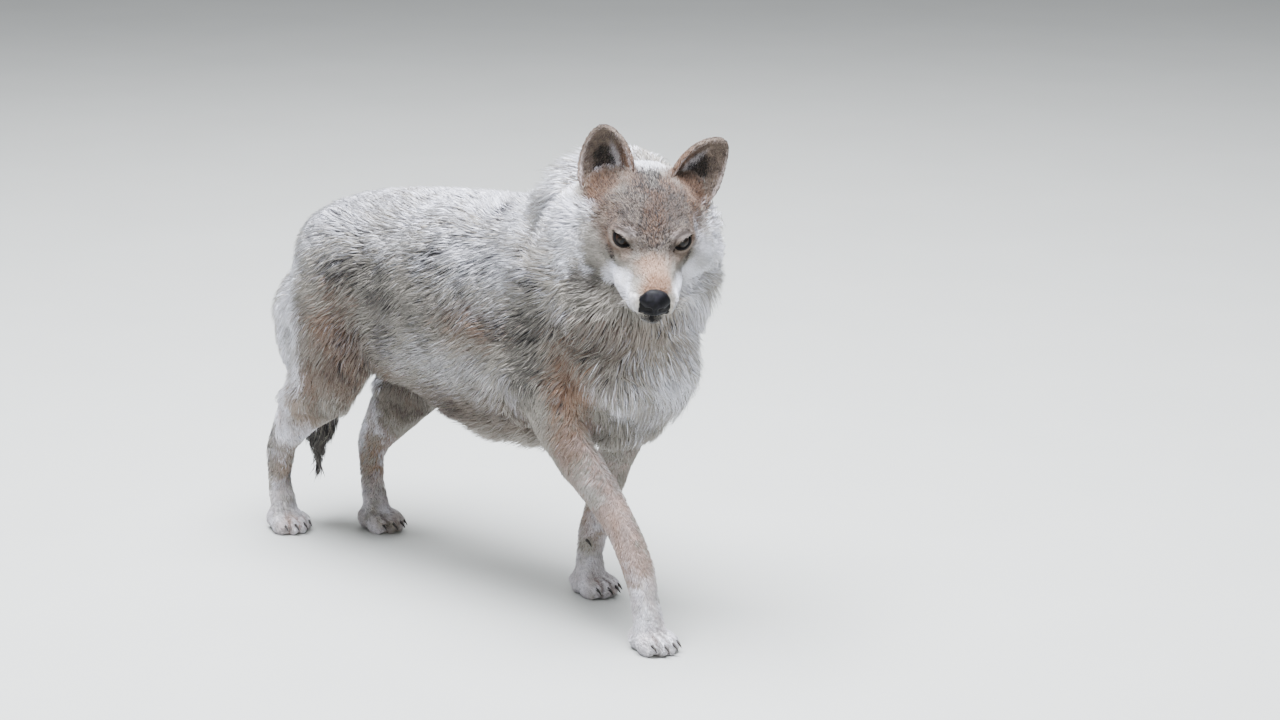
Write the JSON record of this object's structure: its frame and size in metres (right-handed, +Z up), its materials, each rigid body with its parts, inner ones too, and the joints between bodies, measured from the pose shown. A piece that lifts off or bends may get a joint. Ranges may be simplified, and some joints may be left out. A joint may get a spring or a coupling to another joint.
{
  "type": "wolf",
  "caption": "Life-size grey wolf walking with one foreleg forward, its head turned to one side and lowered, and its tail hanging.",
  "frame": {"origin": "on the floor, under the middle of the box round the whole animal", "axes": "+X towards the chest along the trunk, +Y to the animal's left, +Z up"},
  "size_m": [1.1334, 0.312, 0.8618],
  "materials": {
    "coat": "long soft fur",
    "nose_leather": "moist and fine grained",
    "eye": "wet and glossy",
    "claw_horn": "satin horn"
  },
  "bodies": {
    "root": {"nose": "nose_leather", "head": "coat", "neck": "coat", "fore_paw_right": "coat", "fore_paw_left": "coat", "hind_paw_right": "coat", "hind_paw_left": "coat", "forearm_right": "coat", "forearm_left": "coat", "upper_arm_right": "coat", "upper_arm_left": "coat", "tail": "coat", "shank_right": "coat", "shank_left": "coat", "thigh_right": "coat", "thigh_left": "coat", "trunk": "coat", "ear_left": "coat", "ear_right": "coat", "eye_left": "eye", "eye_right": "eye", "claw_foreleg_left_1": "claw_horn", "claw_foreleg_left_2": "claw_horn", "claw_foreleg_left_3": "claw_horn", "claw_foreleg_left_4": "claw_horn", "claw_foreleg_right_1": "claw_horn", "claw_foreleg_right_2": "claw_horn", "claw_foreleg_right_3": "claw_horn", "claw_foreleg_right_4": "claw_horn", "claw_hind_leg_left_1": "claw_horn", "claw_hind_leg_left_2": "claw_horn", "claw_hind_leg_left_3": "claw_horn", "claw_hind_leg_left_4": "claw_horn", "claw_hind_leg_right_1": "claw_horn", "claw_hind_leg_right_2": "claw_horn", "claw_hind_leg_right_3": "claw_horn", "claw_hind_leg_right_4": "claw_horn", "dewclaw_foreleg_left": "claw_horn", "dewclaw_foreleg_right": "claw_horn"}
  },
  "joints": []
}
